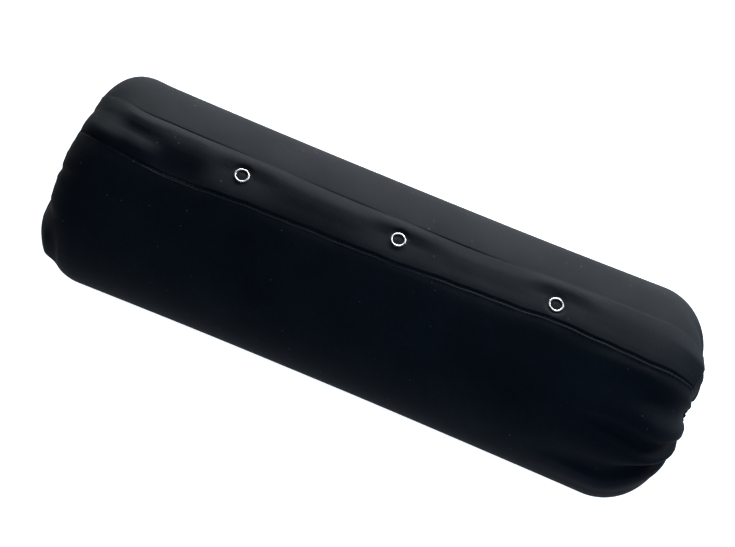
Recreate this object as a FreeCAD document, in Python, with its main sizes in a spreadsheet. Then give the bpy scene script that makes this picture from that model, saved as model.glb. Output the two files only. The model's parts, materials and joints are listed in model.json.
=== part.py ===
import FreeCAD, Part
import os
import Sketcher

# Bolster pillow: a foam roll in a liner, inside a stretch cover that closes with a snapped flap.
# +X runs along the roll, -Y is the side that the flap opens towards, and +Z is up.
# The origin is on the resting face, below the middle of the roll.
# Every angle is measured about the roll's axis, from the top towards -Y.

DRIVING_SIZES = {
    "cover_radius": 76.5,
    "cover_half_length": 232,
    "cover_corner": 34,
    "cover_cloth": 1.2,
    "axis_height": 74.35,
    "liner_radius": 73.7,
    "liner_half_length": 227.8,
    "liner_corner": 29.6,
    "liner_cloth": 0.8,
    "liner_lift": 1.5,
    "liner_disc_radius": 43,
    "foam_gap": 0.3,
    "core_radius": 40,
    "channel_radius": 24,
    "channel_section": 3.2,
    "channel_cloth": 1,
    "channel_inset": 0.2,
    "channel_stitch_radius": 29.12,
    "elastic_section": 2,
    "thread_section": 0.4,
    "thread_height": 0.5,
    "slit_start": 12,
    "slit_sweep": 2,
    "slit_half_length": 190,
    "flap_start": 10.5,
    "flap_sweep": 24,
    "flap_gap": 1.8,
    "flap_cloth": 1.2,
    "flap_mouth": 42.5,
    "facing_start": 15,
    "facing_sweep": 18.5,
    "facing_gap": 0.1,
    "facing_cloth": 0.5,
    "topstitch_angle": 9.3,
    "underlap_stitch_angle": 31,
    "snap_angle": 22,
    "snap_spacing": 114,
    "snap_offset": -4,
    "seat_gap": 0.2,
    "stud_gap": 0.05,
    "ring_radius": 4.6,
    "ring_section": 0.8,
    "prong_overlap": 0.2,
    "prong_circle": 4.2,
    "prong_radius": 0.35,
    "prong_hole_radius": 0.5,
    "socket_radius": 5.1,
    "socket_height": 0.95,
    "socket_bore": 2.1,
    "groove_depth": 0.5,
    "stud_flange": 0.4,
    "post_radius": 1.8,
    "post_bead": 0.45,
    "post_height": 1.05,
    "back_ring_height": 0.6,
    "back_ring_bore": 3.6,
}
PRONGS = 5
ENDS = {"left": -1, "right": 1}
SNAPS = {"left": -1, "centre": 0, "right": 1}
CLEAR = 30         # how far a large cutting tool stands clear of the part
OVERSHOOT = 1      # and a small one
DRAWN_RADIUS = 70  # any circle is drawn this size before its constraint follows the sheet
ALONG_X = FreeCAD.Rotation(FreeCAD.Vector(1, 0, 1), 180)

doc = FreeCAD.newDocument("bolster_pillow")
sheet = doc.addObject("Spreadsheet::Sheet", "sizes")
for row, (alias, value) in enumerate(DRIVING_SIZES.items(), start=1):
    sheet.set(f"A{row}", alias)
    sheet.set(f"B{row}", str(value))
    sheet.setAlias(f"B{row}", alias)
doc.recompute()

nodes = []

# Lengths that several pieces share, as expressions on the sheet.
COVER_R = "sizes.cover_radius"
COVER_INSIDE = "(sizes.cover_radius - sizes.cover_cloth)"
FACING_OUTSIDE = f"({COVER_INSIDE} - sizes.facing_gap)"
FACING_INSIDE = f"({FACING_OUTSIDE} - sizes.facing_cloth)"
FLAP_INSIDE = "(sizes.cover_radius + sizes.flap_gap)"
FLAP_OUTSIDE = f"({FLAP_INSIDE} + sizes.flap_cloth)"
SOCKET_TOP = f"({FLAP_INSIDE} - sizes.seat_gap)"
STUD_BOTTOM = f"({COVER_R} + sizes.stud_gap)"
BACK_RING_TOP = f"({FACING_INSIDE} - sizes.seat_gap)"


def add(kind, name, **bound):
    """Make a document object and bind its properties to the sheet."""
    item = doc.addObject(kind, name)
    for key, expression in bound.items():
        item.setExpression(key.replace("__", "."), str(expression))
    return item


def node(item, label):
    """Give a finished piece the label that names its file."""
    item.Label = label
    nodes.append(item)
    return item


def turn_on_roll(item, angle, along="0 * sizes.snap_spacing"):
    """Turn a piece drawn about the X axis by an angle towards -Y, and lift it to the roll's axis."""
    item.Placement.Rotation = FreeCAD.Rotation(FreeCAD.Vector(1, 0, 0), 1)
    item.setExpression("Placement.Rotation.Angle", angle)
    item.setExpression("Placement.Base.x", along)
    item.setExpression("Placement.Base.z", "sizes.axis_height")
    return item


def cut(name, base, tool):
    item = doc.addObject("Part::Cut", name)
    item.Base = base
    item.Tool = tool
    return item


def common(name, base, tool):
    item = doc.addObject("Part::Common", name)
    item.Base = base
    item.Tool = tool
    return item


def fuse(name, pieces):
    item = doc.addObject("Part::MultiFuse", name)
    item.Shapes = pieces
    return item


def origin_plane(body, role):
    return next(feature for feature in body.Origin.OriginFeatures if feature.Role == role)


def rounded_roll(name, radius, half_length, corner):
    """A solid roll about the X axis whose two rims are rounded."""
    body = doc.addObject("PartDesign::Body", name)
    sketch = body.newObject("Sketcher::SketchObject", f"{name}_circle")
    sketch.AttachmentSupport = [(origin_plane(body, "YZ_Plane"), "")]
    sketch.MapMode = "FlatFace"
    circle = sketch.addGeometry(Part.Circle(FreeCAD.Vector(), FreeCAD.Vector(0, 0, 1), DRAWN_RADIUS))
    sketch.addConstraint(Sketcher.Constraint("Coincident", circle, 3, -1, 1))
    size = sketch.addConstraint(Sketcher.Constraint("Radius", circle, DRAWN_RADIUS))
    sketch.renameConstraint(size, "radius")
    sketch.setExpression("Constraints.radius", radius)
    pad = body.newObject("PartDesign::Pad", f"{name}_pad")
    pad.Profile = sketch
    pad.SideType = "Symmetric"
    pad.setExpression("Length", f"2 * {half_length}")
    doc.recompute()
    rims = [f"Edge{index}" for index, edge in enumerate(pad.Shape.Edges, start=1)
            if isinstance(edge.Curve, Part.Circle)]
    rounding = body.newObject("PartDesign::Fillet", f"{name}_rims")
    rounding.Base = (pad, rims)
    rounding.setExpression("Radius", corner)
    body.Tip = rounding
    return body


def resting_roll(name, radius, half_length, corner, lift):
    """A rounded roll at its height above the floor, pressed flat where it rests."""
    body = rounded_roll(f"{name}_round", radius, half_length, corner)
    body.setExpression("Placement.Base.z", "sizes.axis_height")
    slab = add("Part::Box", f"{name}_slab", Length=f"2 * {half_length} + {2 * CLEAR}",
               Width=f"2 * {radius} + {2 * CLEAR}", Height=CLEAR,
               Placement__Base__x=f"-{half_length} - {CLEAR}",
               Placement__Base__y=f"-{radius} - {CLEAR}", Placement__Base__z=f"{lift} - {CLEAR}")
    return cut(name, body, slab)


def bar(name, radius, half_length, height="sizes.axis_height"):
    """A plain cylinder along X."""
    item = doc.addObject("Part::Cylinder", name)
    item.Placement.Rotation = ALONG_X
    item.setExpression("Radius", radius)
    item.setExpression("Height", f"2 * {half_length}")
    item.setExpression("Placement.Base.x", f"-{half_length}")
    item.setExpression("Placement.Base.z", height)
    return item


def sector(name, radius, half_length, sweep):
    """The part of a cylinder along X that starts at the top and turns by sweep towards -Y."""
    item = bar(name, radius, half_length, "0 * sizes.axis_height")
    item.setExpression("Angle", sweep)
    return item


def disc(name, radius, bottom, height):
    """A plain cylinder along Z, whose bottom is at the given distance from the roll's axis."""
    return add("Part::Cylinder", name, Radius=radius, Height=height, Placement__Base__z=bottom)


def ring_about_x(name, radius, section, along):
    """A torus about the roll's axis."""
    item = doc.addObject("Part::Torus", name)
    item.Placement.Rotation = FreeCAD.Rotation(FreeCAD.Vector(0, 1, 0), 90)
    item.setExpression("Radius1", radius)
    item.setExpression("Radius2", section)
    item.setExpression("Placement.Base.x", along)
    item.setExpression("Placement.Base.z", "sizes.axis_height")
    return item


def prong_circle(name, radius, bottom, height):
    """Five small round prongs in a circle."""
    prongs = []
    for index in range(PRONGS):
        prong = disc(f"{name}_{index}", radius, bottom, height)
        turn = f"{index * 360 / PRONGS} deg"
        prong.setExpression("Placement.Base.x", f"sizes.prong_circle * cos({turn})")
        prong.setExpression("Placement.Base.y", f"sizes.prong_circle * sin({turn})")
        prongs.append(prong)
    return prongs


def strip(name, inside, outside, half_length, start, sweep):
    """A curved strip about the roll's axis, from a start angle through a sweep towards -Y."""
    wedge = sector(f"{name}_wedge", outside, half_length, sweep)
    core = bar(f"{name}_core", inside, f"({half_length} + {CLEAR})", "0 * sizes.axis_height")
    return turn_on_roll(cut(name, wedge, core), start)


def thread_along(label, angle, radius, half_length):
    """A sewing thread that lies along the roll."""
    thread = doc.addObject("Part::Cylinder", f"{label}_thread")
    thread.Placement.Rotation = ALONG_X
    thread.setExpression("Radius", "sizes.thread_section")
    thread.setExpression("Height", f"2 * {half_length}")
    thread.setExpression("Placement.Base.x", f"-{half_length}")
    thread.setExpression("Placement.Base.y", f"-{radius} * sin({angle} * 1 deg)")
    thread.setExpression("Placement.Base.z", f"sizes.axis_height + {radius} * cos({angle} * 1 deg)")
    return node(thread, label)


def insert():
    """The foam roll and its liner."""
    foam_radius = "(sizes.liner_radius - sizes.liner_cloth - sizes.foam_gap)"
    foam_half = "(sizes.liner_half_length - sizes.liner_cloth - sizes.foam_gap)"
    foam_corner = "(sizes.liner_corner - sizes.liner_cloth - sizes.foam_gap)"
    foam_lift = "(sizes.liner_lift + sizes.liner_cloth + sizes.foam_gap)"
    node(bar("core", "sizes.core_radius", foam_half), "foam_core")
    wrap = resting_roll("wrap", foam_radius, foam_half, foam_corner, foam_lift)
    bore = bar("wrap_bore", "sizes.core_radius + sizes.foam_gap", f"({foam_half} + {CLEAR})")
    node(cut("wrap_tube", wrap, bore), "foam_wrap")

    outside = resting_roll("liner_outside", "sizes.liner_radius", "sizes.liner_half_length",
                           "sizes.liner_corner", "sizes.liner_lift")
    inside = resting_roll("liner_inside", "(sizes.liner_radius - sizes.liner_cloth)",
                          "(sizes.liner_half_length - sizes.liner_cloth)",
                          "(sizes.liner_corner - sizes.liner_cloth)",
                          "(sizes.liner_lift + sizes.liner_cloth)")
    mouth = bar("liner_mouth", "sizes.liner_disc_radius", f"(sizes.liner_half_length + {CLEAR})")
    node(cut("liner", cut("liner_shell", outside, inside), mouth), "liner_tube")
    for end, side in ENDS.items():
        cap = bar(f"liner_cap_{end}", "sizes.liner_disc_radius - sizes.facing_gap",
                  "sizes.liner_cloth / 2")
        cap.setExpression("Placement.Base.x", f"{side} * sizes.liner_half_length"
                          + (" - sizes.liner_cloth" if side > 0 else ""))
        node(cap, f"liner_end_{end}")
        seam = ring_about_x(f"liner_thread_{end}", "sizes.liner_disc_radius", "sizes.thread_section",
                            f"{side} * (sizes.liner_half_length + sizes.thread_height)")
        node(seam, f"liner_seam_{end}")


def end_closures():
    """The rolled hem round each end, the elastic inside it and its stitching."""
    along = "(sizes.cover_half_length - sizes.channel_inset)"
    for end, side in ENDS.items():
        outside = ring_about_x(f"channel_outside_{end}", "sizes.channel_radius",
                               "sizes.channel_section", f"{side} * {along}")
        inside = ring_about_x(f"channel_inside_{end}", "sizes.channel_radius",
                              "sizes.channel_section - sizes.channel_cloth", f"{side} * {along}")
        node(cut(f"channel_{end}", outside, inside), f"end_channel_{end}")
        elastic = ring_about_x(f"elastic_{end}", "sizes.channel_radius", "sizes.elastic_section",
                               f"{side} * {along}")
        node(elastic, f"end_elastic_{end}")
        stitch = ring_about_x(f"channel_thread_{end}",
                              "sizes.channel_stitch_radius", "sizes.thread_section",
                              f"{side} * (sizes.cover_half_length + sizes.thread_height)")
        node(stitch, f"channel_stitch_{end}")


def snap_place(step):
    """How far along the roll a snap stands."""
    return f"{step} * sizes.snap_spacing + sizes.snap_offset"


def snap_holes():
    """The holes that the prongs pierce at each snap, through every layer."""
    holes = prong_circle("hole", "sizes.prong_hole_radius", "sizes.liner_radius",
                         f"{FLAP_OUTSIDE} - sizes.liner_radius + {CLEAR}")
    groups = []
    for name, step in SNAPS.items():
        group = fuse(f"holes_{name}", holes)
        groups.append(turn_on_roll(group, "sizes.snap_angle", snap_place(step)))
    return fuse("prong_holes", groups)


def cover(holes):
    """The cover's cloth: one thin shell with a mouth at each end and the slit under the flap."""
    outside = resting_roll("cover_outside", COVER_R, "sizes.cover_half_length",
                           "sizes.cover_corner", "0 * sizes.cover_cloth")
    inside = resting_roll("cover_inside", COVER_INSIDE,
                          "(sizes.cover_half_length - sizes.cover_cloth)",
                          "(sizes.cover_corner - sizes.cover_cloth)", "sizes.cover_cloth")
    mouth = bar("cover_mouth", "sizes.channel_radius + sizes.channel_section + sizes.facing_gap",
                f"(sizes.cover_half_length + {CLEAR})")
    slit = strip("slit", "sizes.core_radius", f"({COVER_R} + {CLEAR})", "sizes.slit_half_length",
                 "sizes.slit_start", "sizes.slit_sweep")
    openings = fuse("cover_openings", [mouth, slit, holes])
    node(cut("cover", cut("cover_shell", outside, inside), openings), "cover_panel")


def underlap(holes):
    """The tape behind the edge that carries the studs, with its stitching."""
    tape = strip("facing", FACING_INSIDE, FACING_OUTSIDE, "sizes.slit_half_length",
                 "sizes.facing_start", "sizes.facing_sweep")
    node(cut("facing_tape", tape, holes), "placket_underlap")
    on_cover = f"({COVER_R} + sizes.thread_height)"
    thread_along("underlap_topstitch", "sizes.underlap_stitch_angle", on_cover,
                 "sizes.slit_half_length")
    thread_along("flap_topstitch", "sizes.topstitch_angle", on_cover, "sizes.slit_half_length")


def flap(holes):
    """The hemmed strip that laps over the slit and wraps round both rims."""
    outside = rounded_roll("flap_outside", FLAP_OUTSIDE,
                           "(sizes.cover_half_length + sizes.flap_gap + sizes.flap_cloth)",
                           "(sizes.cover_corner + sizes.flap_gap + sizes.flap_cloth)")
    inside = rounded_roll("flap_inside", FLAP_INSIDE,
                          "(sizes.cover_half_length + sizes.flap_gap)",
                          "(sizes.cover_corner + sizes.flap_gap)")
    wedge = strip("flap_wedge", "sizes.flap_mouth", f"({FLAP_OUTSIDE} + {CLEAR})",
                  f"(sizes.cover_half_length + {CLEAR})", "sizes.flap_start", "sizes.flap_sweep")
    shell = cut("flap_shell", outside, inside)
    shell.setExpression("Placement.Base.z", "sizes.axis_height")
    node(cut("flap", common("flap_strip", shell, wedge), holes), "placket_flap")


def snaps():
    """Three press snaps: a pronged ring and a socket on the flap, a stud and a ring on the underlap."""
    dome = doc.addObject("Part::Torus", "ring_torus")
    dome.setExpression("Radius1", "sizes.ring_radius")
    dome.setExpression("Radius2", "sizes.ring_section")
    dome.setExpression("Placement.Base.z", FLAP_OUTSIDE)
    below = disc("ring_below", "2 * sizes.ring_radius", f"{FLAP_OUTSIDE} - 2 * sizes.ring_section",
                 "2 * sizes.ring_section")
    ring = cut("ring_dome", dome, below)
    prong_end = f"({SOCKET_TOP} - sizes.groove_depth)"
    ring_prongs = prong_circle("ring_prong", "sizes.prong_radius", prong_end,
                               f"{FLAP_OUTSIDE} - {prong_end} + sizes.prong_overlap")

    socket_bottom = f"({SOCKET_TOP} - sizes.socket_height)"
    socket = disc("socket_disc", "sizes.socket_radius", socket_bottom, "sizes.socket_height")
    bore = disc("socket_bore_tool", "sizes.socket_bore", f"{socket_bottom} - {OVERSHOOT}",
                f"sizes.socket_height + {2 * OVERSHOOT}")
    groove = cut("socket_groove",
                 disc("groove_outside", "sizes.prong_circle + sizes.prong_hole_radius", prong_end,
                      f"sizes.groove_depth + {OVERSHOOT}"),
                 disc("groove_inside", "sizes.prong_circle - sizes.prong_hole_radius", prong_end,
                      f"sizes.groove_depth + {OVERSHOOT}"))
    socket_tool = fuse("socket_tool", [bore, groove])

    flange = disc("stud_flange_disc", "sizes.socket_radius", STUD_BOTTOM, "sizes.stud_flange")
    post = disc("stud_post", "sizes.post_radius - sizes.post_bead / 2", STUD_BOTTOM,
                "sizes.stud_flange + sizes.post_height")
    bead = add("Part::Torus", "stud_bead", Radius1="sizes.post_radius - sizes.post_bead",
               Radius2="sizes.post_bead",
               Placement__Base__z=f"{STUD_BOTTOM} + sizes.stud_flange + sizes.post_height"
                                  " - sizes.post_bead")

    back_bottom = f"({BACK_RING_TOP} - sizes.back_ring_height)"
    back = cut("back_ring_flat",
               disc("back_ring_disc", "sizes.socket_radius", back_bottom, "sizes.back_ring_height"),
               disc("back_ring_hole", "sizes.back_ring_bore", f"{back_bottom} - {OVERSHOOT}",
                    f"sizes.back_ring_height + {2 * OVERSHOOT}"))
    back_prongs = prong_circle("back_prong", "sizes.prong_radius",
                               f"{BACK_RING_TOP} - sizes.back_ring_height / 2",
                               f"{STUD_BOTTOM} - {BACK_RING_TOP} + sizes.back_ring_height / 2")

    for name, step in SNAPS.items():
        pieces = {
            f"snap_cap_ring_{name}": fuse(f"cap_{name}", [ring] + ring_prongs),
            f"snap_socket_{name}": cut(f"socket_{name}", socket, socket_tool),
            f"snap_stud_{name}": fuse(f"stud_{name}", [flange, post, bead]),
            f"snap_back_ring_{name}": fuse(f"back_{name}", [back] + back_prongs),
        }
        for label, piece in pieces.items():
            node(turn_on_roll(piece, "sizes.snap_angle", snap_place(step)), label)


def check_document():
    """Stop if any object failed, or a finished piece is not one sound solid."""
    doc.recompute()
    for item in doc.Objects:
        if "Invalid" in item.State or "Error" in item.State:
            raise RuntimeError(f"{item.Name} failed: {item.State}")
    for item in nodes:
        if item.Shape.isNull() or not item.Shape.isValid():
            raise RuntimeError(f"{item.Label} is not valid")
        if len(item.Shape.Solids) != 1:
            raise RuntimeError(f"{item.Label} has {len(item.Shape.Solids)} solids")


def write_parts():
    os.makedirs("parts", exist_ok=True)
    for item in nodes:
        item.Shape.exportStep(f"parts/{item.Label}.step")
        print(f"{item.Label}: {item.Shape.Volume:.1f} mm3")


insert()
end_closures()
pierced = snap_holes()
cover(pierced)
underlap(pierced)
flap(pierced)
snaps()
check_document()
write_parts()
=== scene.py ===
import json
import math

import bpy
import numpy as np
from mathutils import Matrix, Vector


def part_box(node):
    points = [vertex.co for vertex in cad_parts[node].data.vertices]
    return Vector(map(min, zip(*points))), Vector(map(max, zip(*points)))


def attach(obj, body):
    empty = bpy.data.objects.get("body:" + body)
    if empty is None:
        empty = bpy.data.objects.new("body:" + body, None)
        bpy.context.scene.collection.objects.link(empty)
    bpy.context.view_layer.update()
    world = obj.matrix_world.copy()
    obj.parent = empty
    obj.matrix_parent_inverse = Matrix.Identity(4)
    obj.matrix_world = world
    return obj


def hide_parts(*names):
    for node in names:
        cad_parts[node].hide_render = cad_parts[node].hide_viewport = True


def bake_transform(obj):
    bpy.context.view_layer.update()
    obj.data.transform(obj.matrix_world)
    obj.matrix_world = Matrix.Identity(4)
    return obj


# Bolster pillow: a foam insert in a black stretch cover, closed by a flap with three ring snaps.
# Lengths are metres. Angles round the roll run from its top towards -Y, as in the CAD model.

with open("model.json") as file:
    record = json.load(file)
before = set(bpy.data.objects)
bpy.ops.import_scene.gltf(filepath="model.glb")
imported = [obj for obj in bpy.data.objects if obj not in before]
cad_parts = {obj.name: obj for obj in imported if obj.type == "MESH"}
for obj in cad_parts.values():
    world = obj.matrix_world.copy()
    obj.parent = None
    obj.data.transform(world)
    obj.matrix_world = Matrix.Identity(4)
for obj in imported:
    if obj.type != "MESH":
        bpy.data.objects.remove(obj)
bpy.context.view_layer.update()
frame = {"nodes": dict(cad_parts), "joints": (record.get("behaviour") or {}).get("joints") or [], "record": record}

MM = 0.001
RANDOM = np.random.default_rng(7)

COVER_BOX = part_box("cover_panel")
RADIUS = (COVER_BOX[1].y - COVER_BOX[0].y) / 2
AXIS_Z = COVER_BOX[1].z - RADIUS
END_PLANE = COVER_BOX[1].x
HINGE = frame["joints"][0]["pos_m"]
HINGE_ANGLE = math.atan2(-HINGE[1], HINGE[2] - AXIS_Z)
SNAP_NAMES = ("left", "centre", "right")


def middle(node):
    low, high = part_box(node)
    return (low + high) / 2


def angle_of(node):
    place = middle(node)
    return math.atan2(-place.y, place.z - AXIS_Z)


def radius_of(node):
    """The radius of a round piece that faces away from the roll."""
    low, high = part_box(node)
    return (high.x - low.x) / 2


SNAP_X = [middle(f"snap_stud_{name}").x for name in SNAP_NAMES]
SNAP_ANGLE = angle_of("snap_stud_centre")
STUD_RADIUS = radius_of("snap_stud_centre")
STUD_REACH = 16 * MM       # how far round a stud the panel's mesh is fine
RING_RADIUS = radius_of("snap_cap_ring_centre")
RING_SEAT = 79.5 * MM      # from the roll's axis to the flap's outer face under a ring
RING_DOME = 0.35 * MM      # how much the cloth domes inside a ring
UNDERLAP_ANGLE = math.radians(13.4)   # of the panel's own edge, hidden under the flap
UNDERLAP_SEAM_ANGLE = angle_of("underlap_topstitch")
HEM_RADIUS = 24 * MM       # from the roll's axis to the middle of an end's hem
HEM_SECTION = 3.4 * MM     # radius of the hem itself
PLEATS = 38                # round each end
FLOOR_GAP = 0.2 * MM
STITCH_PITCH = 3.1 * MM
STITCH_LENGTH = STITCH_PITCH * 0.78
STITCH_RADIUS = 0.28 * MM
ROOT_WIDTH = 32 * MM       # of the flap, hidden behind its stitching
FLAP_CLOTH = 1.3 * MM
FLAP_END = 231 * MM
COVER_CLOTH = 1.1 * MM
ROOT_SINK = 0.03           # millimetres the flap's hidden root lies below the panel's face
FOLD_START = 190 * MM      # folds are placed by their distance beyond this, along the cloth


# ---------------------------------------------------------------- shape helpers

def smoothstep(low, high, value):
    t = np.clip((value - low) / (high - low), 0, 1)
    return t * t * (3 - 2 * t)


def bell(value, width):
    return np.exp(-((value / width) ** 2))


def through(*stops):
    """A smooth curve through (position, value) stops, level beyond the first and last."""
    at, value = np.array(stops, float).T
    slope = np.gradient(value, at)

    def curve(x):
        x = np.clip(x, at[0], at[-1])
        index = np.clip(np.searchsorted(at, x, side="right") - 1, 0, len(at) - 2)
        width = at[index + 1] - at[index]
        t = (x - at[index]) / width
        start = value[index] * (1 + 2 * t) + slope[index] * width * t
        finish = value[index + 1] * (3 - 2 * t) - slope[index + 1] * width * (1 - t)
        return start * (1 - t) ** 2 + finish * t * t

    return curve


WAIST = 0.65 * MM          # how far the roll's middle stands outside the CAD cover
FULLNESS = 1.1 * MM        # and its ends
RIM_TURN = math.radians(80)


class Outline:
    """Half of the roll's outline by length along the cloth: a slight swell, a round rim, a domed end."""

    def __init__(self, swell, rim_radius, dome, inset=0.0, end_radius=HEM_RADIUS + HEM_SECTION * 0.6):
        rim_start = END_PLANE + FULLNESS - dome - rim_radius
        x = np.linspace(0, rim_start, 120)
        r = RADIUS + WAIST + swell * (x / rim_start) ** 2
        turn = np.linspace(0, RIM_TURN, 60)[1:]
        x = np.append(x, rim_start + rim_radius * np.sin(turn))
        r = np.append(r, r[-1] - rim_radius + rim_radius * np.cos(turn))
        start = r[-1]
        dome_r = np.linspace(start, end_radius, 40)[1:]
        share = (start - dome_r) / (start - HEM_RADIUS)
        x = np.append(x, x[-1] + dome * (1 - (1 - share) ** 2))
        r = np.append(r, dome_r)
        step_x, step_r = np.gradient(x), np.gradient(r)
        length = np.hypot(step_x, step_r)
        self.normal_x, self.normal_r = -step_r / length, step_x / length
        self.x = x - inset * self.normal_x
        self.r = r - inset * self.normal_r
        self.s = np.append(0, np.cumsum(np.hypot(np.diff(x), np.diff(r))))
        self.end = self.s[-1]


END_SHAPES = {
    # side: swell, rim radius, dome
    -1: (2.1 * MM, 40 * MM, 1.5 * MM),
    1: (1.35 * MM, 32 * MM, 1.6 * MM),
}
HALVES = {side: Outline(*shape) for side, shape in END_SHAPES.items()}


def on_roll(s, angle, lift, halves=HALVES):
    """Points at signed cloth length s and an angle, lifted off the roll by lift."""
    a = np.abs(s)
    places = []
    for side in (-1, 1):
        half = halves[side]
        x = side * (np.interp(a, half.s, half.x) + lift * np.interp(a, half.s, half.normal_x))
        r = np.interp(a, half.s, half.r) + lift * np.interp(a, half.s, half.normal_r)
        places.append((x, r))
    x = np.where(s < 0, places[0][0], places[1][0])
    r = np.where(s < 0, places[0][1], places[1][1])
    return np.stack([x, -r * np.sin(angle), AXIS_Z + r * np.cos(angle)], -1)


def roll_radius(s):
    a = np.abs(s)
    left, right = HALVES[-1], HALVES[1]
    return np.where(s < 0, np.interp(a, left.s, left.r), np.interp(a, right.s, right.r))


def press_on_floor(points, level=FLOOR_GAP, softness=1.2 * MM):
    """The part that would go below the floor spreads flat on it."""
    z = points[..., 2] - level
    points[..., 2] = level + 0.5 * (z + np.sqrt(z * z + softness * softness))
    return points


def mesh_object(name, points, faces, uv=None):
    mesh = bpy.data.meshes.new(name)
    mesh.from_pydata(points.reshape(-1, 3).tolist(), [], faces)
    mesh.polygons.foreach_set("use_smooth", np.ones(len(mesh.polygons), bool))
    if uv is not None:
        layer = mesh.uv_layers.new(name="cloth")
        loops = np.empty(len(mesh.loops), int)
        mesh.loops.foreach_get("vertex_index", loops)
        layer.data.foreach_set("uv", uv.reshape(-1, 2)[loops].ravel())
    mesh.validate()
    item = bpy.data.objects.new(name, mesh)
    bpy.context.scene.collection.objects.link(item)
    return item


def grid_faces(rows, columns, wrap=False):
    """Quads over a grid of points in row order; wrap joins the last row to the first."""
    row = np.arange(rows if wrap else rows - 1)[:, None]
    column = np.arange(columns - 1)[None, :]
    below = (row + 1) % rows
    quads = np.stack([row * columns + column, below * columns + column,
                      below * columns + column + 1, row * columns + column + 1], -1)
    return quads.reshape(-1, 4).tolist()


def spaced(start, *runs):
    """Samples from start through each run's end, each run given as (end, number of steps)."""
    values = [np.array([start])]
    for finish, count in runs:
        values.append(np.linspace(values[-1][-1], finish, count + 1)[1:])
    return np.concatenate(values)


# ---------------------------------------------------------------- the cloth's relief

# Where the flap's stitching and its free edge run, in degrees by distance along the roll in millimetres.
STITCH_LINE = through((-240, 13.6), (-195, 12.6), (-165, 13.3), (-122, 14.1), (-90, 13.0), (-50, 12.2),
                      (-10, 10.4), (30, 10.0), (80, 9.5), (115, 8.6), (148, 7.4), (175, 8.4),
                      (205, 10.8), (232, 15.5))
FREE_EDGE = through((-240, 36.5), (-130, 36.3), (-60, 33.8), (0, 33.6), (40, 33.0), (105, 34.6),
                    (165, 34.3), (195, 35.3), (212, 39.0), (232, 48.0))


def stitch_angle(s):
    """The flap's stitched line: cloth gives, so it wanders along the roll."""
    return np.radians(STITCH_LINE(s / MM) + 0.12 * np.sin(s / (7 * MM)) + 0.1 * np.sin(s / (3.7 * MM)))


def edge_angle(s):
    return np.radians(FREE_EDGE(s / MM) + 0.2 * np.sin(s / (23 * MM)))


def circle_difference(angle):
    return (angle + 180) % 360 - 180


def fold(along, degrees, start, end, at_start, at_end, depth, width, above, below):
    """A crease that deepens from start to end as it crosses the rim, with a raised lip on either side."""
    progress = np.clip((along - start) / (end - start), 0, 1.2)
    across = circle_difference(degrees - (at_start + (at_end - at_start) * progress)) / width
    shape = (above * np.exp(-((across - 1.9) / 1.2) ** 2) + below * np.exp(-((across + 1.9) / 1.2) ** 2)
             - np.exp(-np.abs(across) ** 1.4))
    return depth * shape * smoothstep(0, 1, progress)


# Creases of the gathers that reach over the rim, on each end, in millimetres and degrees: distance beyond
# FOLD_START where they start and where they are deepest, their angle at both, depth (or height, where it is
# negative), half-width, and the shares of the depth that the lips beside them rise.
LONG_FOLDS = {
    -1: [(14, 46, 55, 52, 1.6, 5.0, 0.2, 0.2), (0, 44, 28, 27, -3.6, 9.0, 0.0, 0.0)],
    1: [(4, 44, 36, 34, 3.4, 16.0, 0.0, 0.0), (10, 44, -7, -10, 1.0, 3.0, 0.2, 0.2),
        (22, 50, -36, -40, 1.6, 4.0, 0.2, 0.3), (20, 50, -84, -88, 1.8, 5.0, 0.4, 0.2)],
}
# The broad folds below the placket at the -X end: height in millimetres by angle at the rim, and, since
# they fan out, the angle at the rim that each angle further in leads to.
BROAD_FOLDS = through((-62, 0), (-48, 0.9), (-46.5, 0.4), (-44, -4.2), (-37, 2.7), (-35, 3.0),
                      (-30, -4.0), (-22, 2.7), (-18, 3.0), (-5, -2.4), (1, -0.8), (5, 0.3), (10, 0))
FAN = through((-72, -62), (-55, -45), (-45.5, -40.5), (-29.5, -33), (-22, -26.5), (-15.5, -19),
              (1.5, 0), (10, 10))
GATHERS = 26               # random folds round each end
CALM_FROM, CALM_TO = -95, 100   # degrees between which no random fold reaches over the rim


def pleat_wave(angle, side):
    return np.sin(PLEATS * angle + 1.3 * np.sin(3 * angle) + side)


def random_folds():
    """Gathers all round an end; on the sides away from the placket, some reach over the rim."""
    folds = []
    for index in range(GATHERS):
        centre = circle_difference(360 * (index + RANDOM.uniform(-0.3, 0.3)) / GATHERS)
        long_one = RANDOM.uniform(0, 1) < 0.45 and not CALM_FROM < centre < CALM_TO
        start = RANDOM.uniform(-34, 0) if long_one else RANDOM.uniform(38, 48)
        lean = RANDOM.uniform(-7, 7)
        end = start + RANDOM.uniform(34, 48)
        depth, width = RANDOM.uniform(1.2, 2.4), RANDOM.uniform(3.0, 4.6)
        above, below = RANDOM.uniform(0.1, 0.5), RANDOM.uniform(0.1, 0.5)
        folds.append((start, end, centre + lean, centre, depth, width, above, below))
    return folds


FOLDS = {side: LONG_FOLDS[side] + random_folds() for side in (-1, 1)}


def minus_end_fan(along, degrees):
    """The broad folds that fan out from the -X rim, below the placket."""
    around = circle_difference(degrees)
    at_rim = FAN(around) + (around - FAN(around)) * smoothstep(-5, 36, along)
    return BROAD_FOLDS(at_rim) * smoothstep(-60, 14, along)


def plus_end_bulges(along, degrees):
    """The full corner on the +X end's front, and the lobe that a crease parts from its back."""
    corner = 1.8 * bell(along - 26, 15) * bell(circle_difference(degrees - 92), 48)
    across_lobe = np.exp(-(circle_difference(degrees + 65) / 15) ** 4)
    return corner + (3.4 * smoothstep(29, 36, along) - 1.6 * bell(along - 27, 3)) * across_lobe


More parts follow.
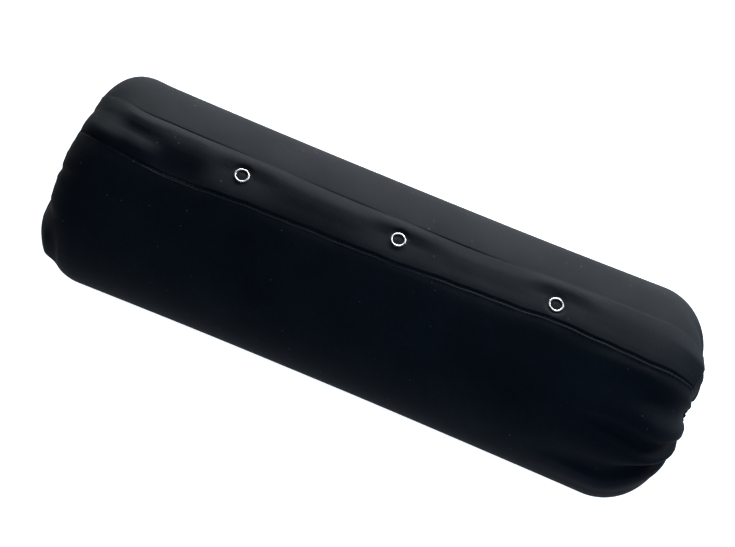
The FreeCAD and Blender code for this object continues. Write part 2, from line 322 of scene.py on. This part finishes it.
def gather_lift(s, angle):
    """How far the cloth stands off the smooth roll because of its gathers."""
    lift = np.zeros(np.broadcast(s, angle).shape)
    degrees = np.degrees(angle)
    for side, folds in FOLDS.items():
        along = (side * s - FOLD_START) / MM
        for item in folds:
            lift += fold(along, degrees, *item)
        lift += pleat_wave(angle, side) * smoothstep(44, 76, along)
    lift += minus_end_fan((-s - FOLD_START) / MM, degrees)
    lift += plus_end_bulges((s - FOLD_START) / MM, degrees)
    return lift * MM


def slack_lift(s, angle):
    """Slow, shallow unevenness of stretched cloth over foam."""
    wave = (np.sin(s / (61 * MM) + 2.1 * np.cos(angle)) * np.sin(2 * angle + 0.7)
            + 0.6 * np.sin(s / (33 * MM) - 1.7) * np.cos(3 * angle + 0.4 * np.sin(s / (80 * MM))))
    return 0.22 * MM * wave


def cover_lift(s, angle):
    return gather_lift(s, angle) + slack_lift(s, angle)


def edge_tuck(s, angle):
    """The panel dips under the flap's free edge where the edge presses on it."""
    return -EDGE_TUCK(s / MM) * MM * bell(np.degrees(angle - edge_angle(s)) - 0.8, 0.9)


# Height of the flap's outer face above the roll in millimetres, from its stitched line (0) to its free
# edge (1), at several places along it.
BETWEEN_SNAPS = through((0, 1.2), (0.03, 1.45), (0.12, 1.6), (0.33, 1.5), (0.55, 1.9), (0.68, 2.1),
                        (0.85, 1.7), (1, 1.3))
PLUS_SPAN = through((0, 1.0), (0.045, 1.25), (0.12, 1.5), (0.33, 2.2), (0.55, 3.4), (0.7, 3.9),
                    (0.85, 3.2), (1, 1.9))
BESIDE_SNAP = through((0, 2.1), (0.03, 2.4), (0.1, 2.5), (0.25, 2.3), (0.4, 2.0), (0.52, 1.9),
                      (0.64, 2.7), (0.77, 3.8), (0.86, 3.7), (0.94, 2.8), (1, 1.8))
LEAVING_SNAPS = through((0, 0.6), (0.1, 0.7), (0.25, 1.5), (0.4, 2.9), (0.55, 4.5), (0.7, 5.6),
                        (0.82, 5.8), (0.92, 4.3), (1, 1.8))
VALLEY = through((0, 0.8), (0.05, 1.2), (0.15, 2.0), (0.26, 2.7), (0.37, 2.6), (0.46, 2.2),
                 (0.55, 2.7), (0.68, 4.3), (0.8, 5.1), (0.9, 3.8), (1, 1.6))
PLUS_END = through((0, 0.9), (0.05, 1.8), (0.14, 2.8), (0.22, 3.1), (0.35, 2.4), (0.5, 1.6),
                   (0.6, 1.4), (0.75, 1.9), (0.9, 1.9), (1, 1.4))
MINUS_END = through((0, 1.25), (0.03, 1.5), (0.12, 1.55), (0.3, 1.4), (0.5, 1.45), (0.7, 1.65),
                    (0.85, 1.55), (1, 1.3))
END_TIP = through((0, 0.8), (0.1, 1.4), (0.7, 1.6), (1, 1.3))
# Depth of the panel's dip under the flap's edge, and height of the ridge behind the flap's stitching,
# both in millimetres by distance along the roll.
EDGE_TUCK = through((-240, 0.0), (-80, 0.2), (-60, 0.9), (-25, 0.9), (-8, 0.2), (12, 0.2), (25, 0.9),
                    (52, 0.9), (70, 0.2), (112, 0.2), (132, 1.3), (178, 1.2), (196, 0.2), (240, 0.0))
SEAM_RIDGE = through((-240, 0.6), (-120, 0.45), (-60, 0.3), (60, 0.2), (150, 0.25), (240, 0.35))
GROOVE_WIDTH = 0.8 * MM
RIDGE_WIDTH = 0.9 * MM
RIDGE_BEHIND = 1.6 * MM    # how far behind the stitching the ridge runs


def flap_lift(s, angle):
    """The flap's outer face above the roll: a groove at its stitching, bulges, and dents at the snaps."""
    line = stitch_angle(s)
    across = (angle - line) / (edge_angle(s) - line)
    away = (angle - line) * RADIUS
    t = np.clip(across, 0, 1)
    body = BETWEEN_SNAPS(t)
    body = body + (PLUS_SPAN(t) - body) * smoothstep(5 * MM, 45 * MM, s)
    for x in SNAP_X:
        along = s - x
        reach = np.where(along < 0, 27 * MM, 21 * MM)
        body = body + (BESIDE_SNAP(t) - body) * np.exp(-np.abs(along / reach) ** 2.6)
    for profile, place, start, end in (
        (LEAVING_SNAPS, s, 124, 146),
        (VALLEY, s, 160, 182),
        (PLUS_END, s, 190, 206),
        (MINUS_END, -s, 140, 165),
        (END_TIP, np.abs(s), 214, 231),
    ):
        body = body + (profile(t) - body) * smoothstep(start * MM, end * MM, place)
    strength = 0.6 + 0.4 * np.sin(s / (13 * MM) + np.sin(s / (5.1 * MM)))
    pucker = (0.5 + 0.5 * np.cos(2 * math.pi * s / STITCH_PITCH)) * strength
    groove = (0.4 + 0.8 * pucker) * bell(away, GROOVE_WIDTH)
    ridge = SEAM_RIDGE(s / MM) * (0.15 + 1.4 * pucker) * bell(away + RIDGE_BEHIND, RIDGE_WIDTH)
    root = smoothstep(-ROOT_WIDTH, 0.3 * MM, away)
    return ((body + ROOT_SINK) * root - ROOT_SINK - groove + ridge) * MM


def ring_seats(s, angle, lift):
    """The flap lies flat under each snap ring, and domes a little inside it."""
    for x in SNAP_X:
        across = angle - SNAP_ANGLE
        distance = np.hypot(s - x, across * RING_SEAT)
        seat = RING_SEAT / np.cos(across) - roll_radius(s) - 0.05 * MM
        hold = 1 - smoothstep(RING_RADIUS * 0.95, RING_RADIUS * 1.7, distance)
        inside = RING_DOME * bell(distance, 2.6 * MM)
        lift = lift + hold * (seat + inside - lift)
    return lift


def stud_seats(s, angle, lift):
    """The panel lies flat under each stud, at the CAD cover's face."""
    for x in SNAP_X:
        across = angle - SNAP_ANGLE
        distance = np.hypot(s - x, across * RADIUS)
        seat = RADIUS * (1 + across ** 2 / 2) - roll_radius(s)
        hold = 1 - smoothstep(STUD_RADIUS, STUD_RADIUS * 2.6, distance)
        lift = lift + hold * (seat - lift)
    return lift


def panel_face(s, angle):
    return stud_seats(s, angle, cover_lift(s, angle) + edge_tuck(s, angle))


# ---------------------------------------------------------------- pieces

def cover_columns():
    """Lengths along the roll for the panel's mesh: fine over the ends and round the studs."""
    middle_half = 150 * MM
    coarse = 8 * MM
    runs = [(-middle_half, 76)]
    for x in SNAP_X:
        gap = x - STUD_REACH - runs[-1][0]
        runs += [(x - STUD_REACH, round(gap / coarse)), (x + STUD_REACH, 12)]
    return spaced(-HALVES[-1].end, *runs, (middle_half, 3), (HALVES[1].end, 76))


def cover_cloth():
    """The main panel: from the underlap's edge round the front, the underside and the back to the flap.

    Beyond the flap's ends its two edges are sewn together.
    """
    hinge = 360 + math.degrees(HINGE_ANGLE)
    under_flap = 0.5       # degrees the panel runs on beneath the flap's root
    closing = 6            # degrees in which its last rows turn to meet the first, beyond the flap
    angles = np.radians(spaced(math.degrees(UNDERLAP_ANGLE), (31, 11), (40, 30), (52, 10), (180, 52),
                               (284, 44), (hinge - closing, 78), (hinge + under_flap, 6)))
    grid_s, grid_a = np.meshgrid(cover_columns(), angles)
    beyond_flap = smoothstep(FLAP_END - 14 * MM, FLAP_END - 3 * MM, np.abs(grid_s))
    last_rows = smoothstep(math.radians(hinge - closing), math.radians(hinge), grid_a)
    slit = UNDERLAP_ANGLE - HINGE_ANGLE - math.radians(under_flap)
    grid_a = grid_a + slit * beyond_flap * last_rows
    points = press_on_floor(on_roll(grid_s, grid_a, panel_face(grid_s, grid_a)))
    uv = np.stack([grid_s, grid_a * RADIUS], -1)
    item = mesh_object("cover_cloth", points, grid_faces(*grid_s.shape), uv)
    solid = item.modifiers.new("thickness", "SOLIDIFY")
    solid.thickness = COVER_CLOTH
    solid.offset = -1
    return item


def outer_face(s, angle):
    return ring_seats(s, angle, flap_lift(s, angle) + cover_lift(s, angle))


def placket_flap():
    """The flap as one closed shape: outer face from behind the stitching, rolled edge, inner face."""
    s = spaced(-FLAP_END, (FLAP_END, 620))[None, :]
    root = stitch_angle(s) - ROOT_WIDTH / RADIUS
    width = edge_angle(s) - root
    outer = root + width * spaced(0, (0.42, 10), (0.56, 32), (0.95, 28), (1, 6))[:, None]
    inner = root + width * spaced(1, (0, 24))[:, None]
    roll = np.linspace(0, math.pi, 9)[1:-1, None]
    half = FLAP_CLOTH / 2
    outer_lift = outer_face(s, outer)
    roll_angle = outer[-1] + half * np.sin(roll) / RADIUS
    roll_lift = outer_lift[-1] - half + half * np.cos(roll)
    angle = np.concatenate([outer, roll_angle, inner])
    lift = np.concatenate([outer_lift, roll_lift, outer_face(s, inner) - FLAP_CLOTH])
    grid_s = np.broadcast_to(s, angle.shape)
    points = on_roll(grid_s, angle, lift)
    uv = np.stack([grid_s, angle * RADIUS], -1)
    rows, columns = angle.shape
    faces = grid_faces(rows, columns, wrap=True)
    faces.append([row * columns for row in reversed(range(rows))])
    faces.append([row * columns + columns - 1 for row in range(rows)])
    return mesh_object("flap_cloth", points, faces, uv)


def capsule(length, radius, sides=8, rings=3):
    """Points and faces of a round-ended rod along X."""
    profile = []
    for index in range(rings + 1):
        turn = math.pi / 2 * index / rings
        profile.append((-length / 2 + radius - radius * math.cos(turn), radius * math.sin(turn)))
    profile += [(-x, r) for x, r in reversed(profile)]
    profile = np.array(profile)
    profile[:, 1] = np.maximum(profile[:, 1], radius * 0.02)   # a tiny flat at each tip, not a point
    turn = np.linspace(0, 2 * math.pi, sides, endpoint=False)
    x = np.repeat(profile[:, 0], sides).reshape(-1, sides)
    y = profile[:, 1:2] * np.cos(turn)
    z = profile[:, 1:2] * np.sin(turn)
    points = np.stack([x, y, z], -1).reshape(-1, 3)
    faces = []
    for ring in range(len(profile) - 1):
        for side in range(sides):
            after = (side + 1) % sides
            faces.append([ring * sides + side, ring * sides + after,
                          (ring + 1) * sides + after, (ring + 1) * sides + side])
    faces.append(list(range(sides))[::-1])
    faces.append([(len(profile) - 1) * sides + side for side in range(sides)])
    return points, faces


def stitches(name, path):
    """A row of separate stitches along a path of points."""
    steps = np.append(0, np.cumsum(np.linalg.norm(np.diff(path, axis=0), axis=1)))
    count = int(steps[-1] / STITCH_PITCH)
    shape, shape_faces = capsule(STITCH_LENGTH, STITCH_RADIUS)
    points, faces = [], []
    for index in range(count):
        at = (index + 0.5) * STITCH_PITCH
        reach = np.array([at - STITCH_LENGTH / 2, at + STITCH_LENGTH / 2])
        start, finish = np.stack([np.interp(reach, steps, path[:, axis]) for axis in range(3)], -1)
        turn = Vector(finish - start).to_track_quat("X", "Z").to_matrix()
        placed = shape @ np.array(turn).T + (start + finish) / 2
        faces += [[vertex + len(points) * len(shape) for vertex in face] for face in shape_faces]
        points.append(placed)
    return mesh_object(name, np.concatenate(points), faces)


def flap_topstitch():
    reach = FLAP_END - 3 * MM
    s = np.linspace(-reach, reach, 1600)
    angle = stitch_angle(s)
    return stitches("flap_stitches", on_roll(s, angle, outer_face(s, angle) + 0.1 * MM))


def underlap_topstitch():
    low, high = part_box("underlap_topstitch")
    s = np.linspace(low.x, high.x, 1200)
    angle = np.full(len(s), UNDERLAP_SEAM_ANGLE)
    return stitches("underlap_stitches", on_roll(s, angle, panel_face(s, angle) + 0.05 * MM))


def end_hem(side, name):
    """The rolled hem round an end, pleated by the elastic inside it."""
    around = np.linspace(0, 2 * math.pi, 420, endpoint=False)[:, None]
    section = np.linspace(0, 2 * math.pi, 25, endpoint=False)[None, :]
    pleat = pleat_wave(around, side)
    fine = np.sin(83 * around + 2 * np.sin(5 * around) - side)
    radius = HEM_SECTION * (1 + 0.17 * pleat * (0.6 + 0.4 * np.cos(section)) + 0.05 * fine)
    r = HEM_RADIUS + 0.5 * MM * np.sin(4 * around + side) + radius * np.cos(section)
    x = side * (END_PLANE - 0.2 * MM + radius * np.sin(section) * 0.95)
    points = np.stack([x, -r * np.sin(around), AXIS_Z + r * np.cos(around)], -1)
    rows, columns = points.shape[:2]
    index = np.arange(rows * columns).reshape(rows, columns)
    below, beside = np.roll(index, -1, 0), np.roll(index, -1, 1)
    faces = np.stack([index, beside, np.roll(below, -1, 1), below], -1).reshape(-1, 4)
    if side > 0:
        faces = faces[:, ::-1]
    uv = np.stack(np.broadcast_arrays(section * HEM_SECTION, around * HEM_RADIUS), -1)
    return mesh_object(name, points, faces.tolist(), uv)


def filling(name, inset, level):
    """A layer of the insert: it follows the cover from within, an inset away, and rests at a level."""
    halves = {side: Outline(*shape, inset=inset, end_radius=0.4 * MM) for side, shape in END_SHAPES.items()}
    s = spaced(-halves[-1].end, (-FOLD_START, 60), (FOLD_START, 40), (halves[1].end, 60))
    angles = np.linspace(0, 2 * math.pi, 160, endpoint=False)
    grid_s, grid_a = np.meshgrid(s, angles)
    along = np.abs(grid_s) - FOLD_START
    fitted = np.minimum(gather_lift(grid_s, grid_a), 0)
    end_seam = -0.9 * MM * bell(along - 66 * MM, 2.2 * MM)
    ripples = 0.5 * MM * np.sin(17 * grid_a + 2 * np.sin(2 * grid_a)) * smoothstep(33 * MM, 68 * MM, along)
    hollow_end = -3.6 * MM * smoothstep(36 * MM, 74 * MM, along)
    lift = fitted + end_seam + ripples + hollow_end
    points = press_on_floor(on_roll(grid_s, grid_a, lift, halves), level)
    uv = np.stack([grid_s, grid_a * RADIUS], -1)
    return mesh_object(name, points, grid_faces(len(angles), len(s), wrap=True), uv)


# ---------------------------------------------------------------- materials

LINT_COLOR = (0.04, 0.04, 0.045, 1)
LINT_SIZE = 0.055          # as a share of the specks' spacing
LINT_FROM = 0.45           # noise level above which specks show
WEAVE_SHARE = 0.8          # height of the knit's weave beside that of its fuzz


def new_material(name, **sockets):
    material = bpy.data.materials.new(name)
    material.use_nodes = True
    shader = material.node_tree.nodes["Principled BSDF"]
    for key, value in sockets.items():
        shader.inputs[key.replace("_", " ")].default_value = value
    return material, material.node_tree, shader


def node(tree, kind, **settings):
    item = tree.nodes.new(kind)
    for key, value in settings.items():
        if key in item.inputs:
            item.inputs[key].default_value = value
        else:
            setattr(item, key, value)
    return item


def ramp(tree, source, stops):
    item = tree.nodes.new("ShaderNodeValToRGB")
    elements = item.color_ramp.elements
    for index, (position, color) in enumerate(stops):
        element = elements[index] if index < 2 else elements.new(position)
        element.position = position
        element.color = (*color, 1)
    tree.links.new(source, item.inputs["Fac"])
    return item.outputs["Color"]


def roughened(tree, shader, source, low, high):
    """Let a pattern drive a shader's roughness between two values."""
    rough = node(tree, "ShaderNodeMapRange")
    rough.inputs["To Min"].default_value = low
    rough.inputs["To Max"].default_value = high
    tree.links.new(source, rough.inputs["Value"])
    tree.links.new(rough.outputs["Result"], shader.inputs["Roughness"])


def combine(tree, operation, first, second):
    """A math node fed by an output and by either another output or a plain number."""
    item = tree.nodes.new("ShaderNodeMath")
    item.operation = operation
    tree.links.new(first, item.inputs[0])
    if isinstance(second, float):
        item.inputs[1].default_value = second
    else:
        tree.links.new(second, item.inputs[1])
    return item.outputs[0]


def with_lint(tree, place, color):
    """A colour with small pale specks scattered over parts of it."""
    specks = node(tree, "ShaderNodeTexVoronoi", Scale=110.0)
    tree.links.new(place.outputs["Object"], specks.inputs["Vector"])
    some = node(tree, "ShaderNodeTexNoise", Scale=41.0)
    tree.links.new(place.outputs["Object"], some.inputs["Vector"])
    near = combine(tree, "LESS_THAN", specks.outputs["Distance"], LINT_SIZE)
    picked = combine(tree, "GREATER_THAN", some.outputs["Fac"], LINT_FROM)
    mix = node(tree, "ShaderNodeMix", data_type="RGBA")
    tree.links.new(combine(tree, "MULTIPLY", near, picked), mix.inputs["Factor"])
    tree.links.new(color, mix.inputs["A"])
    mix.inputs["B"].default_value = LINT_COLOR
    return mix.outputs["Result"]


def knit(name, dark, light):
    """Black stretch knit: fine ribs, a matt face, uneven dye and a little lint."""
    material, tree, shader = new_material(name, Specular_IOR_Level=0.01)
    links = tree.links
    place = node(tree, "ShaderNodeTexCoord")
    cloth = node(tree, "ShaderNodeUVMap", uv_map="cloth")
    cloudy = node(tree, "ShaderNodeTexNoise", Scale=22.0, Detail=5.0)
    links.new(place.outputs["Object"], cloudy.inputs["Vector"])
    dye = ramp(tree, cloudy.outputs["Fac"], [(0.3, dark), (0.72, light)])
    links.new(with_lint(tree, place, dye), shader.inputs["Base Color"])
    ribs = node(tree, "ShaderNodeTexWave", Scale=420.0, Distortion=0.6, Detail=1.0, bands_direction="Y")
    links.new(cloth.outputs["UV"], ribs.inputs["Vector"])
    loops = node(tree, "ShaderNodeTexWave", Scale=300.0, Distortion=0.8, Detail=1.0, bands_direction="X")
    links.new(cloth.outputs["UV"], loops.inputs["Vector"])
    weave = combine(tree, "MULTIPLY", ribs.outputs["Fac"], loops.outputs["Fac"])
    fuzz = node(tree, "ShaderNodeTexNoise", Scale=900.0, Detail=3.0)
    links.new(place.outputs["Object"], fuzz.inputs["Vector"])
    relief = combine(tree, "ADD", combine(tree, "MULTIPLY", weave, WEAVE_SHARE), fuzz.outputs["Fac"])
    bump = node(tree, "ShaderNodeBump", Strength=0.35, Distance=0.00025)
    links.new(relief, bump.inputs["Height"])
    links.new(bump.outputs["Normal"], shader.inputs["Normal"])
    roughened(tree, shader, cloudy.outputs["Fac"], 0.61, 0.69)
    return material


def nickel(name, color, roughness):
    """Plated metal with faint handling marks."""
    material, tree, shader = new_material(name, Metallic=1.0)
    links = tree.links
    place = node(tree, "ShaderNodeTexCoord")
    marks = node(tree, "ShaderNodeTexNoise", Scale=700.0, Detail=6.0)
    links.new(place.outputs["Object"], marks.inputs["Vector"])
    tone = ramp(tree, marks.outputs["Fac"], [(0.3, tuple(0.82 * c for c in color)), (0.65, color)])
    links.new(tone, shader.inputs["Base Color"])
    roughened(tree, shader, marks.outputs["Fac"], roughness * 0.7, roughness * 1.5)
    return material


def woven(name, dark, light, scale):
    """Plain woven cloth or thread."""
    material, tree, shader = new_material(name, Roughness=0.8, Sheen_Weight=0.04, Specular_IOR_Level=0.12)
    links = tree.links
    place = node(tree, "ShaderNodeTexCoord")
    noise = node(tree, "ShaderNodeTexNoise", Scale=60.0, Detail=4.0)
    links.new(place.outputs["Object"], noise.inputs["Vector"])
    links.new(ramp(tree, noise.outputs["Fac"], [(0.3, dark), (0.7, light)]), shader.inputs["Base Color"])
    threads = node(tree, "ShaderNodeTexWave", Scale=scale, Distortion=0.5, bands_direction="DIAGONAL")
    links.new(place.outputs["Object"], threads.inputs["Vector"])
    bump = node(tree, "ShaderNodeBump", Strength=0.4, Distance=0.0003)
    links.new(threads.outputs["Fac"], bump.inputs["Height"])
    links.new(bump.outputs["Normal"], shader.inputs["Normal"])
    return material


def foam(name):
    """Pale open-cell foam."""
    material, tree, shader = new_material(name, Roughness=0.95)
    links = tree.links
    place = node(tree, "ShaderNodeTexCoord")
    cells = node(tree, "ShaderNodeTexVoronoi", Scale=700.0)
    links.new(place.outputs["Object"], cells.inputs["Vector"])
    links.new(ramp(tree, cells.outputs["Distance"], [(0, (0.5, 0.47, 0.38)), (0.6, (0.78, 0.75, 0.66))]),
              shader.inputs["Base Color"])
    bump = node(tree, "ShaderNodeBump", Strength=0.6, Distance=0.0006)
    links.new(cells.outputs["Distance"], bump.inputs["Height"])
    links.new(bump.outputs["Normal"], shader.inputs["Normal"])
    return material


def paint(item, material):
    item.data.materials.clear()
    item.data.materials.append(material)


# ---------------------------------------------------------------- build

KNIT = knit("cover_knit", (0.0046, 0.0056, 0.0068), (0.0074, 0.0088, 0.0105))
THREAD = woven("sewing_thread", (0.006, 0.006, 0.007), (0.012, 0.012, 0.013), 1500.0)
TAPE = woven("black_tape", (0.012, 0.012, 0.012), (0.02, 0.02, 0.02), 900.0)
LINER = woven("liner_cloth", (0.012, 0.012, 0.014), (0.022, 0.022, 0.025), 700.0)
ELASTIC = woven("covered_elastic", (0.02, 0.02, 0.02), (0.03, 0.03, 0.03), 900.0)
BRIGHT = nickel("bright_nickel", (0.28, 0.268, 0.25), 0.34)
SATIN = nickel("satin_nickel", (0.74, 0.73, 0.70), 0.3)
FOAM = foam("open_cell_foam")

SLOT_MATERIALS = {"cover_cloth": KNIT, "thread": THREAD, "underlap_tape": TAPE, "liner": LINER,
                  "elastic": ELASTIC, "snap_ring": BRIGHT, "snap_inner": SATIN, "foam": FOAM}
for part in frame["record"]["subparts"]:
    paint(frame["nodes"][part["node"]], SLOT_MATERIALS[part["material_slot"]])

cover = cover_cloth()
paint(cover, KNIT)
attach(cover, "cover")
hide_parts("cover_panel")

flap = placket_flap()
paint(flap, KNIT)
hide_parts("placket_flap")

topstitch = flap_topstitch()
paint(topstitch, THREAD)
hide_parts("flap_topstitch")

for piece in (flap, topstitch):
    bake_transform(piece)

for hem_side, hem_name in ((-1, "left"), (1, "right")):
    hem = end_hem(hem_side, f"end_hem_{hem_name}")
    paint(hem, KNIT)
    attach(hem, "cover")
    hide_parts(f"end_channel_{hem_name}", f"channel_stitch_{hem_name}")

underlap_row = underlap_topstitch()
paint(underlap_row, THREAD)
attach(underlap_row, "cover")
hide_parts("underlap_topstitch")

liner = filling("liner_roll", inset=2.4 * MM, level=1.6 * MM)
paint(liner, LINER)
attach(liner, "cover")
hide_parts("liner_tube", "liner_end_left", "liner_end_right",
            "liner_seam_left", "liner_seam_right")

foam_roll = filling("foam_roll", inset=4.0 * MM, level=3.2 * MM)
paint(foam_roll, FOAM)
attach(foam_roll, "cover")
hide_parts("foam_wrap", "foam_core")


# ---------------------------------------------------------------- floor, light and camera

def area_light(name, place, target, size, power, color):
    light = bpy.data.lights.new(name, "AREA")
    light.shape = "RECTANGLE"
    light.size, light.size_y = size
    light.energy = power
    light.color = color
    item = bpy.data.objects.new(name, light)
    item.location = place
    item.rotation_euler = (Vector(target) - Vector(place)).to_track_quat("-Z", "Y").to_euler()
    bpy.context.scene.collection.objects.link(item)


FLOOR_SIZE = 6.0             # half the width of the floor, in metres
BACKDROP_RADIUS = 5.9
BACKDROP_HEIGHT = 4.0
BACKDROP_SIDES = 96


def staged(name, points, faces, material):
    """A surface that belongs to the studio, not to the object."""
    mesh = bpy.data.meshes.new(name)
    mesh.from_pydata(points, [], faces)
    mesh.materials.append(material)
    item = bpy.data.objects.new(name, mesh)
    bpy.context.scene.collection.objects.link(item)
    return item


def studio():
    """A plain pale floor, and a pale wall round it that the camera sees but that lights nothing."""
    pale = new_material("pale_studio", Roughness=0.9, Base_Color=(0.9, 0.9, 0.9, 1),
                        Emission_Color=(1, 1, 1, 1), Emission_Strength=0.9)[0]
    corners = [(x * FLOOR_SIZE, y * FLOOR_SIZE, 0) for x, y in ((-1, -1), (1, -1), (1, 1), (-1, 1))]
    staged("floor", corners, [(0, 1, 2, 3)], pale)
    points, faces = [], []
    count = 2 * BACKDROP_SIDES
    for index in range(0, count, 2):
        turn = 2 * math.pi * index / count
        x, y = BACKDROP_RADIUS * math.cos(turn), BACKDROP_RADIUS * math.sin(turn)
        points += [(x, y, 0), (x, y, BACKDROP_HEIGHT)]
        faces.append((index, (index + 2) % count, (index + 3) % count, index + 1))
    wall = staged("backdrop", points, faces, pale)
    wall.visible_diffuse = False
    wall.visible_glossy = False


CENTRE = (0, 0, AXIS_Z)
CAMERA_AZIMUTH = math.radians(202.5)
CAMERA_ELEVATION = math.radians(84.6)
CAMERA_DISTANCE = 1.02
FOCAL_SHARE = 1.925          # focal length over the frame's width
OFFSET_RIGHT = 0.0104        # where the roll's middle lies, as shares of the frame's width
OFFSET_DOWN = 0.0195


def camera():
    """A camera at the photograph's angle, moved aside a little so that the roll sits as it does there."""
    a, e = CAMERA_AZIMUTH, CAMERA_ELEVATION
    back = Vector((math.sin(a) * math.cos(e), -math.cos(a) * math.cos(e), math.sin(e)))
    right = Vector((math.cos(a), math.sin(a), 0))
    up = back.cross(right)
    data = bpy.data.cameras.new("camera")
    data.sensor_width = 36.0
    data.lens = data.sensor_width * FOCAL_SHARE
    data.clip_end = 50
    item = bpy.data.objects.new("camera", data)
    frame_width = CAMERA_DISTANCE / FOCAL_SHARE
    aside = up * OFFSET_DOWN * frame_width - right * OFFSET_RIGHT * frame_width
    item.matrix_world = Matrix((right, up, back)).transposed().to_4x4()
    item.location = Vector(CENTRE) + back * CAMERA_DISTANCE + aside
    bpy.context.scene.collection.objects.link(item)
    bpy.context.scene.camera = item


studio()
camera()
LIGHTS = {
    # name: position, width and height, power, colour
    "window": ((0.08, -1.45, AXIS_Z), (1.5, 0.14), 113, (1.04, 1.0, 0.94)),
    "window_glow": ((-0.1, -1.25, 0.95), (1.2, 0.5), 11, (0.85, 1.0, 1.2)),
    "side": ((-1.05, -0.95, AXIS_Z + 0.02), (0.3, 0.1), 15, (0.9, 1.0, 1.1)),
    "overhead": ((-0.4, 0, 0.95), (0.5, 0.5), 2.6, (0.5, 0.85, 1.35)),
    "fill": ((0, 1.4, 0.45), (1.5, 0.4), 6, (0.6, 0.9, 1.3)),
}
for light_name, (place, size, power, color) in LIGHTS.items():
    area_light(light_name, place, CENTRE, size, power, color)

world = bpy.data.worlds.new("studio")
world.use_nodes = True
background = world.node_tree.nodes["Background"]
background.inputs["Color"].default_value = (0.5, 0.8, 1.2, 1)
background.inputs["Strength"].default_value = 0.05
bpy.context.scene.world = world
bpy.context.scene.view_settings.view_transform = "Standard"
